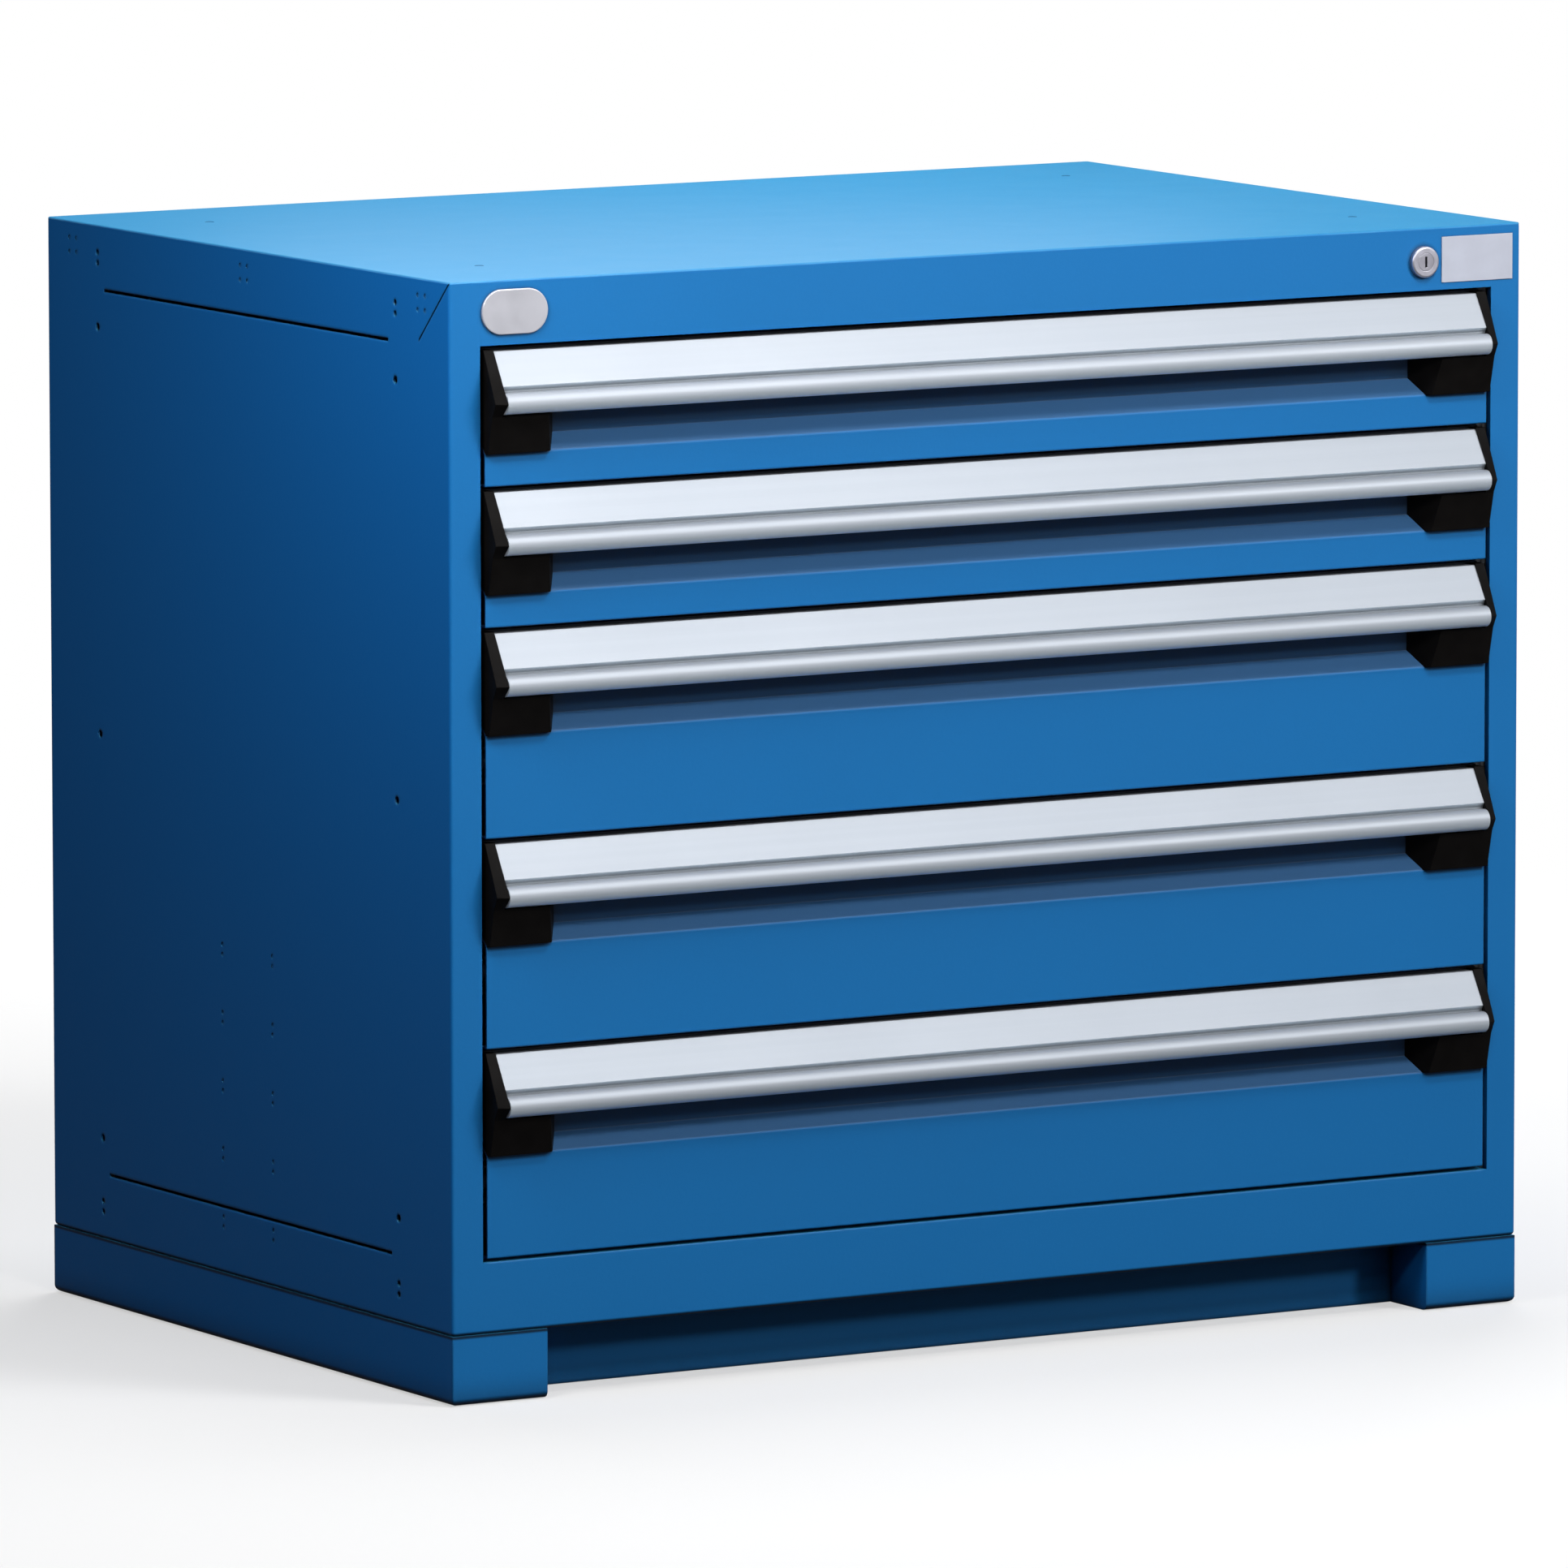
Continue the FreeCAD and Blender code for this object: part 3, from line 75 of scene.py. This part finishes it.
class Nodes:
    """A short way to build the node tree of one material or world."""

    def __init__(self, owner, output="ShaderNodeOutputMaterial"):
        owner.use_nodes = True
        self.owner = owner
        self.tree = owner.node_tree
        self.tree.nodes.clear()
        self.surface = self.node(output).inputs["Surface"]
        self.coordinates = self.node("ShaderNodeTexCoord").outputs

    def node(self, kind, inputs=None, **settings):
        """A new node with its settings, and with inputs given by name or number."""
        made = self.tree.nodes.new(kind)
        for key, value in settings.items():
            setattr(made, key, value)
        for key, value in (inputs or {}).items():
            self.put(made.inputs[key], value)
        return made

    def put(self, socket, value):
        if isinstance(value, bpy.types.NodeSocket):
            self.tree.links.new(value, socket)
        elif socket.type == "RGBA":
            socket.default_value = (*value, 1.0)
        else:
            socket.default_value = value

    def place(self, stretch=(1, 1, 1), shift=(0, 0, 0)):
        """Object coordinates in metres, stretched per axis and shifted."""
        inputs = {"Vector": self.coordinates["Object"], "Location": shift, "Scale": stretch}
        return self.node("ShaderNodeMapping", inputs).outputs["Vector"]

    def part(self, vector, axis):
        return self.node("ShaderNodeSeparateXYZ", {0: vector}).outputs[axis]

    def position(self, axis):
        return self.part(self.coordinates["Object"], axis)

    def face_normal(self):
        return self.node("ShaderNodeNewGeometry").outputs["Normal"]

    def facing(self, axis, start, end):
        """0 to 1 as the face's tilt towards one axis goes from start to end."""
        return self.span(self.part(self.face_normal(), axis), 0.0, 1.0, start, end)

    def noise(self, scale, detail=2.0, stretch=(1, 1, 1)):
        """A cloudy pattern with this many features to the metre."""
        inputs = {"Vector": self.place(stretch), "Scale": scale, "Detail": detail}
        return self.node("ShaderNodeTexNoise", inputs).outputs["Fac"]

    def span(self, value, low, high, start=0.3, end=0.7, curve="LINEAR"):
        """From low to high as the value goes from start to end; the defaults fit a noise."""
        inputs = {"Value": value, "From Min": start, "From Max": end,
                  "To Min": low, "To Max": high}
        made = self.node("ShaderNodeMapRange", inputs, interpolation_type=curve)
        return made.outputs["Result"]

    def math(self, operation, first, second=0.0, clamp=False):
        made = self.node("ShaderNodeMath", {0: first, 1: second},
                         operation=operation, use_clamp=clamp)
        return made.outputs[0]

    def times(self, first, *others):
        for other in others:
            first = self.math("MULTIPLY", first, other)
        return first

    def vector_math(self, operation, *operands):
        made = self.node("ShaderNodeVectorMath", dict(enumerate(operands)),
                         operation=operation)
        return made.outputs

    def mix(self, factor, first, second):
        made = self.node("ShaderNodeMix", {0: factor, 6: first, 7: second}, data_type="RGBA")
        return made.outputs[2]

    def mix_normals(self, factor, first, second):
        made = self.node("ShaderNodeMix", {0: factor, 4: first, 5: second}, data_type="VECTOR")
        return made.outputs[1]

    def mix_surfaces(self, factor, first, second):
        inputs = {0: factor, 1: first.outputs[0], 2: second.outputs[0]}
        return self.node("ShaderNodeMixShader", inputs)

    def darken(self, colour, factor):
        made = self.node("ShaderNodeVectorMath", operation="SCALE")
        self.put(made.inputs[0], colour)
        self.put(made.inputs["Scale"], factor)
        return made.outputs[0]

    def mottled(self, mask, colour, dark, light):
        """The colour, darker and lighter by two factors as the mask goes from 0 to 1."""
        return self.mix(mask, scaled(colour, dark), scaled(colour, light))

    def bump(self, height, distance, strength, normal):
        inputs = {"Height": height, "Distance": distance, "Strength": strength,
                  "Normal": normal}
        return self.node("ShaderNodeBump", inputs).outputs["Normal"]

    def soft_edges(self, radius):
        """Normal rounded over the edges, and a mask that is 1 on an edge."""
        made = self.node("ShaderNodeBevel", {"Radius": radius}, samples=6)
        rounded = made.outputs["Normal"]
        agreement = self.vector_math("DOT_PRODUCT", rounded, self.face_normal())["Value"]
        turned = self.math("SUBTRACT", 1.0, agreement)
        return rounded, self.span(turned, 0.0, 1.0, 0.02, 0.22)

    def hollows(self, depth, low, start, end):
        """Painted shade factor: 1 on open faces, falling to low where the shape closes in
        within the depth.
        """
        made = self.node("ShaderNodeAmbientOcclusion", {"Distance": depth}, samples=6)
        return self.span(made.outputs["AO"], low, 1.0, start, end)

    def finish(self, base, roughness, normal, **fixed):
        inputs = {"Base Color": base, "Roughness": roughness, "Normal": normal}
        for key, value in fixed.items():
            inputs[key.replace("_", " ")] = value
        shader = self.node("ShaderNodeBsdfPrincipled", inputs)
        self.put(self.surface, shader.outputs["BSDF"])
        return self.owner


def scaled(colour, factor):
    return tuple(min(1.0, channel * factor) for channel in colour)


def material(name):
    return Nodes(bpy.data.materials.new(name))


def powder_coat(name, edge=0.0011, pale=EDGE_PAINTED_HIGHLIGHT, upward=UPWARD_PAINTED_LIGHT, roughness=0.46,
                rounded=None, dark=None, rim=False):
    """Satin powder coat: orange peel, faint mottling, and a painted highlight over the edges.

    The faces that look up take the upward colour, painted light on the top and painted shade
    and sheen on drawer slopes; those that look sideways are painted deeper, as shade. Hollows
    get painted shade.
    rounded gives a mask of where the edges are rounded, dark a factor for more painted shade in
    shaded places.
    A rim is the edge of a sheet whose normal leans up and which takes a painted highlight, as a
    folded edge catching the light.
    """
    made = material(name)
    normal, on_edge = folded_rim(made) if rim else made.soft_edges(edge)
    if rounded is not None:
        normal, on_edge = limited(made, normal, on_edge, rounded(made))

    mottle = made.span(made.noise(5.0, 4.0), 0.0, 1.0)
    grain = made.span(made.noise(1400.0, 1.0), 0.0, 1.0)
    base = made.mottled(mottle, BLUE, 0.985, 1.015)
    base = made.mix(made.times(grain, 0.25), base, scaled(BLUE, 0.93))
    # Painted shade on the faces that look sideways
    sideways = made.math("ADD", made.facing("X", 0.4, 0.9), made.facing("X", -0.4, -0.9))
    base = made.mix(sideways, base, SIDE_PAINTED_SHADE)

    # Painted shade in recesses and in the narrow gaps between parts
    recesses = made.hollows(0.035, 0.17, 0.33, 0.8)
    gaps = made.hollows(0.004, 0.45, 0.6, 0.97)
    shade = made.times(recesses, gaps)
    if dark is not None:
        shade = made.times(shade, dark(made))
    base = made.darken(base, shade)
    # Painted light on the faces that look up, and painted shade and sheen on the drawer slopes
    base = made.mix(made.facing("Z", 0.3, 0.65), base, upward)
    # Painted highlight along the edges, varied by a noise and kept out of shaded places
    edge_highlight_amount = made.times(made.span(made.noise(40.0, 3.0), 0.15, 0.45), shade)
    base = made.mix(made.times(on_edge, edge_highlight_amount), base, pale)

    rough = made.span(made.noise(22.0, 5.0), roughness - 0.012, roughness + 0.018)
    peel = made.bump(made.noise(330.0, 2.0), 0.00012, 0.5, normal)
    peel = made.bump(made.noise(1500.0, 1.0), 0.00004, 0.5, peel)
    return made.finish(base, rough, peel, Specular_IOR_Level=0.3)


def limited(made, normal, on_edge, kept):
    """Takes the edge rounding off wherever the mask kept is 0."""
    return made.mix_normals(kept, made.face_normal(), normal), made.times(on_edge, kept)


def folded_rim(made):
    """Normal of a sheet whose rim leans up, and a mask of that rim."""
    leaning = made.vector_math("ADD", made.face_normal(), (0.0, 0.0, 0.9))["Vector"]
    return made.vector_math("NORMALIZE", leaning)["Vector"], made.facing("Z", 0.6, 0.3)


def off_centre(made):
    """Distance from the middle of the cabinet, to the left or right."""
    return made.math("ABSOLUTE", made.position("X"))


def from_base_joint(made):
    """Height above or below the joint of housing and base."""
    return made.math("ABSOLUTE", made.math("SUBTRACT", made.position("Z"), BASE_JOINT))


def base_rounded(made):
    """Off next to the joint of housing and base."""
    return made.span(from_base_joint(made), 0.0, 1.0, 0.0022, 0.0040)


def side_rounded(made):
    """Off where a side panel lies flush with the header, the sill and the top panel."""
    on_stile = made.span(off_centre(made), 0.0, 1.0, HEADER_END + 0.0062, HEADER_END + 0.0122)
    below_top = made.span(made.position("Z"), 1.0, 0.0, TOP_JOINT - 0.0063, TOP_JOINT - 0.0023)
    return made.times(on_stile, below_top, base_rounded(made))


def sill_rounded(made):
    """On along the sill's upper edge only, and off where the sill meets the stiles."""
    inside = made.span(off_centre(made), 1.0, 0.0, HEADER_END - 0.0058, HEADER_END - 0.0018)
    upper = made.span(made.position("Z"), 0.0, 1.0, SILL_TOP - 0.0328, SILL_TOP - 0.0128)
    return made.times(inside, upper)


def base_joint(made):
    """Painted shade where the sheets of housing and base turn in to their joint."""
    return made.span(from_base_joint(made), 0.1, 1.0, 0.0014, 0.0028)


def behind_handle(made):
    """Painted shade on the wall of the recess behind a handle."""
    return made.span(made.position("Y"), 1.0, 0.4, HOUSING_FRONT + 0.009, HOUSING_FRONT + 0.011)


def drawn_aluminium(name):
    """Satin anodised extrusion with fine die lines along its length, a painted reflection on
    faces that look down and painted shade in hollows.
    """
    made = material(name)
    normal, on_edge = made.soft_edges(0.0005)
    lines = made.noise(1.0, 3.0, (1.2, 2600.0, 2600.0))
    bands = made.noise(1.0, 2.0, (0.6, 200.0, 200.0))
    base = made.mix(made.span(bands, 0.0, 1.0), ALUMINIUM, PALE_ALUMINIUM)
    base = made.mix(made.times(on_edge, 0.5), base, WORN_ALUMINIUM)
    # Painted reflection, paler and bluer, on the faces that look down
    base = made.mix(made.facing("Z", 0.15, -0.5), base, UNDERSIDE_PAINTED_REFLECTION)
    # Painted shade in the notch and other hollows of the handle
    base = made.darken(base, made.hollows(0.006, 0.35, 0.35, 0.8))
    cloud = made.span(made.noise(9.0, 4.0), -0.01, 0.02)
    rough = made.math("ADD", made.span(lines, 0.54, 0.58), cloud)
    return made.finish(base, rough, made.bump(lines, 0.000008, 0.5, normal), Metallic=0.6)


def moulded_black(name):
    """Moulded black plastic with a fine spark-eroded texture."""
    made = material(name)
    normal, on_edge = made.soft_edges(0.0008)
    base = made.mix(made.span(made.noise(60.0, 4.0), 0.0, 1.0), BLACK, GREY_BLACK)
    base = made.mix(made.times(on_edge, 0.3), base, WORN_BLACK)
    rough = made.span(made.noise(25.0, 3.0), 0.5, 0.62)
    surface = made.bump(made.noise(1900.0, 2.0), 0.00007, 0.7, normal)
    return made.finish(base, rough, surface, Specular_IOR_Level=0.07)


def zinc_plate(name, colour, roughness):
    """Zinc-plated rolled steel: faint cloudy patches and rolling lines."""
    made = material(name)
    normal, on_edge = made.soft_edges(0.0004)
    patches = made.span(made.noise(28.0, 5.0), 0.0, 1.0)
    base = made.mottled(patches, colour, 0.86, 1.1)
    base = made.mix(made.times(on_edge, 0.5), base, scaled(colour, 1.35))
    lines = made.noise(30.0, 3.0, (40.0, 1.0, 40.0))
    rough = made.math("ADD", made.span(lines, roughness - 0.06, roughness + 0.08),
                      made.span(patches, 0.0, 0.06, 0.0, 1.0))
    return made.finish(base, rough, made.bump(lines, 0.00005, 0.5, normal), Metallic=0.85)


def turned_steel(name, colour, roughness, centre=None):
    """Bright metal; with a centre (x, z), turned in rings about a line from front to back."""
    ring_pitch = 0.0006
    made = material(name)
    normal, on_edge = made.soft_edges(0.0005)
    cloud = made.span(made.noise(120.0, 4.0), 0.0, 1.0)
    base = made.mottled(cloud, colour, 0.9, 1.08)
    base = made.mix(made.times(on_edge, 0.6), base, scaled(colour, 1.3))
    if centre is None:
        height = made.noise(900.0, 2.0)
    else:
        outward = made.place((1.0, 0.0, 1.0), (-centre[0], 0.0, -centre[1]))
        radius = made.vector_math("LENGTH", outward)["Value"]
        height = made.math("SINE", made.times(radius, math.tau / ring_pitch))
    rough = made.span(made.noise(200.0, 3.0), roughness - 0.05, roughness + 0.08)
    return made.finish(base, rough, made.bump(height, 0.00002, 0.4, normal), Metallic=1.0)


def matt_film(name, colour, roughness, metallic):
    """Thin plate or film with a faint grain."""
    made = material(name)
    normal, on_edge = made.soft_edges(0.0004)
    cloud = made.span(made.noise(45.0, 4.0), 0.0, 1.0)
    base = made.mottled(cloud, colour, 0.95, 1.04)
    base = made.mix(made.times(on_edge, 0.5), base, scaled(colour, 1.12))
    rough = made.span(made.noise(70.0, 3.0), roughness - 0.06, roughness + 0.08)
    surface = made.bump(made.noise(2200.0, 2.0), 0.00003, 0.5, normal)
    return made.finish(base, rough, surface, Metallic=metallic)


SLOT_FINISH = {
    "housing_paint": powder_coat("housing_paint", 0.003, FOLD_PAINTED_HIGHLIGHT,
                                 rounded=base_rounded, dark=base_joint),
    "drawer_paint": powder_coat("drawer_paint", upward=DRAWER_UPWARD_SHADE_AND_SHEEN, dark=behind_handle),
    "tray_paint": powder_coat("tray_paint", 0.0006, roughness=0.45),
    "handle_aluminium": drawn_aluminium("handle_aluminium"),
    "black_plastic": moulded_black("black_plastic"),
    "zinc_steel": zinc_plate("zinc_steel", ZINC, 0.42),
    "roller_steel": turned_steel("roller_steel", BRIGHT_STEEL, 0.28),
    "fasteners": zinc_plate("fasteners", YELLOW_ZINC, 0.30),
    "lock_metal": turned_steel("lock_metal", NICKEL, 0.40, LOCK_CENTRE),
    "lock_plug_metal": turned_steel("lock_plug_metal", PLUG_NICKEL, 0.38, LOCK_CENTRE),
    "label_face": matt_film("label_face", LABEL, 0.42, 0.0),
    "badge_face": matt_film("badge_face", BADGE, 0.34, 0.55),
}

# Housing panels whose edges look different from the rest of their slot
side_paint = powder_coat("side_paint", 0.003, FOLD_PAINTED_HIGHLIGHT,
                         rounded=side_rounded, dark=base_joint)
PANEL_FINISH = {
    "top_panel": powder_coat("top_paint", pale=RIM_PAINTED_HIGHLIGHT, rim=True),
    "side_panel_left": side_paint,
    "side_panel_right": side_paint,
    "front_header": powder_coat("header_paint", 0.0005, BLUE),
    "front_sill": powder_coat("sill_paint", 0.002, rounded=sill_rounded, dark=base_joint),
}

for part in frame["record"]["subparts"]:
    thing = nodes[part["node"]]
    thing.data.materials.clear()
    thing.data.materials.append(
        PANEL_FINISH.get(part["node"], SLOT_FINISH[part["material_slot"]]))


# Floor and light

AMBIENT = 0.02
FLOOR_REACH = 6.0
FLOOR_SINK = 0.0005
FLOOR_FADE = (0.6, 2.6)
FLOOR_SEEN = (0.90, 0.90, 0.905)
FLOOR_BOUNCE = (0.045, 0.045, 0.047)
FLOOR_IN_GLOSS = 0.07
FLOOR_GLOW = 0.5
SKY = (0.97, 0.985, 1.0)
SKY_BRIGHT_SIDE = (0.2, -0.6, 0.775)
SKY_IN_GLOSS = (0.07, 0.72)
FRONT_MIDDLE = (0.0, -0.29, 0.5)


def floor():
    """Pale floor that fades out: part of its white is its own, so that shadows stay light."""
    mesh = bpy.data.meshes.new("floor")
    corners = [(FLOOR_REACH * x, FLOOR_REACH * y, 0.0)
               for x, y in ((-1, -1), (1, -1), (1, 1), (-1, 1))]
    mesh.from_pydata(corners, [], [(0, 1, 2, 3)])
    thing = bpy.data.objects.new("floor", mesh)
    thing.location.z = -FLOOR_SINK
    bpy.context.scene.collection.objects.link(thing)

    made = material("floor_finish")
    path = made.node("ShaderNodeLightPath").outputs
    seen = made.math("ADD", made.times(path["Is Glossy Ray"], FLOOR_IN_GLOSS),
                     path["Is Camera Ray"])
    seen = made.math("ADD", seen, path["Is Transmission Ray"], clamp=True)
    colour = made.mix(seen, FLOOR_BOUNCE, FLOOR_SEEN)
    diffuse = made.node("ShaderNodeBsdfDiffuse", {"Color": colour})
    glow = made.node("ShaderNodeEmission", {"Color": WHITE, "Strength": 1.0})
    pale = made.mix_surfaces(made.times(seen, FLOOR_GLOW), diffuse, glow)
    clear = made.node("ShaderNodeBsdfTransparent")
    away = made.vector_math("LENGTH", made.coordinates["Object"])["Value"]
    fade = made.span(away, 0.0, 1.0, *FLOOR_FADE, curve="SMOOTHERSTEP")
    made.put(made.surface, made.mix_surfaces(fade, pale, clear).outputs[0])
    mesh.materials.append(made.owner)


def surroundings():
    """White where it is seen; in gloss bright above and ahead, and dim behind."""
    world = bpy.data.worlds.new("studio")
    bpy.context.scene.world = world
    made = Nodes(world, "ShaderNodeOutputWorld")
    path = made.node("ShaderNodeLightPath").outputs
    bright_side = Vector(SKY_BRIGHT_SIDE).normalized()
    ahead = made.vector_math("DOT_PRODUCT", made.coordinates["Generated"], bright_side)
    gloss = made.span(ahead["Value"], *SKY_IN_GLOSS, 0.0, 0.95)
    diffuse = made.span(path["Is Diffuse Ray"], 1.0, AMBIENT, 0.0, 1.0)
    lit = made.node("ShaderNodeBackground",
                    {"Color": SKY, "Strength": made.times(gloss, diffuse)})
    shown = made.node("ShaderNodeBackground", {"Color": WHITE, "Strength": 1.0})
    made.put(made.surface, made.mix_surfaces(path["Is Camera Ray"], lit, shown).outputs[0])


def softbox(name, place, target, width, height, power, in_gloss=True):
    lamp = bpy.data.lights.new(name, "AREA")
    lamp.shape = "RECTANGLE"
    lamp.size = width
    lamp.size_y = height
    lamp.energy = power
    thing = bpy.data.objects.new(name, lamp)
    thing.location = place
    thing.rotation_mode = "QUATERNION"
    thing.rotation_quaternion = (Vector(target) - Vector(place)).to_track_quat("-Z", "Y")
    thing.visible_glossy = in_gloss
    bpy.context.scene.collection.objects.link(thing)


floor()
surroundings()
softbox("left_near", (-1.05, -0.58, 1.33), FRONT_MIDDLE, 0.35, 0.3, 6.6)
softbox("left_mid", (-0.64, -2.32, 1.92), FRONT_MIDDLE, 0.3, 0.3, 13.2)
softbox("right_mid", (1.43, -2.0, 1.75), FRONT_MIDDLE, 0.3, 0.3, 12.0)
softbox("high_key", (0.3, -1.35, 2.2), FRONT_MIDDLE, 0.4, 0.3, 14.8)
softbox("far_middle", (-0.2, -3.8, 2.45), FRONT_MIDDLE, 0.6, 0.4, 6.0)
softbox("far_right", (3.2, -4.8, 2.5), FRONT_MIDDLE, 0.7, 0.5, 53.0)
softbox("overhead", (0.0, 0.3, 2.4), (0.0, 0.1, 0.8), 1.1, 0.9, 24.0)
softbox("rear_sheen", (0.23, 0.5, 1.226), (-0.577, -0.548, 0.8), 0.79, 0.3, 1.24)
softbox("rear_fill", (2.0, 2.3, 1.1), (0.1, 0.1, 0.4), 1.5, 1.2, 60.0, in_gloss=False)


# Camera

INCH = 0.0254
CAMERA_FROM_CORNER = (-211.244 * INCH, -374.178 * INCH, 72.932 * INCH)
CAMERA_TURN, CAMERA_TILT, CAMERA_ROLL = 0.53583, 0.12764, -0.000884
LENS_MM, SENSOR_MM = 352.66, 36.0


def camera():
    """The photograph's view: a long lens from the left of the front, a little above."""
    corner = Vector((HOUSING_LEFT, HOUSING_FRONT, 0.0))
    right = Vector((math.cos(CAMERA_TURN), -math.sin(CAMERA_TURN), 0.0))
    level = Vector((math.sin(CAMERA_TURN), math.cos(CAMERA_TURN), 0.0))
    up = Vector((0.0, 0.0, 1.0))
    forward = level * math.cos(CAMERA_TILT) - up * math.sin(CAMERA_TILT)
    lifted = up * math.cos(CAMERA_TILT) + level * math.sin(CAMERA_TILT)
    side = right * math.cos(CAMERA_ROLL) + lifted * math.sin(CAMERA_ROLL)
    above = lifted * math.cos(CAMERA_ROLL) - right * math.sin(CAMERA_ROLL)
    lens = bpy.data.cameras.new("camera")
    lens.sensor_width = SENSOR_MM
    lens.lens = LENS_MM
    lens.clip_start = 0.1
    lens.clip_end = 200.0
    thing = bpy.data.objects.new("camera", lens)
    turned = Matrix((side, above, -forward)).transposed()
    place = Matrix.Translation(corner + Vector(CAMERA_FROM_CORNER))
    thing.matrix_world = place @ turned.to_4x4()
    bpy.context.scene.collection.objects.link(thing)
    bpy.context.scene.camera = thing


camera()
bpy.context.scene.view_settings.view_transform = "Standard"
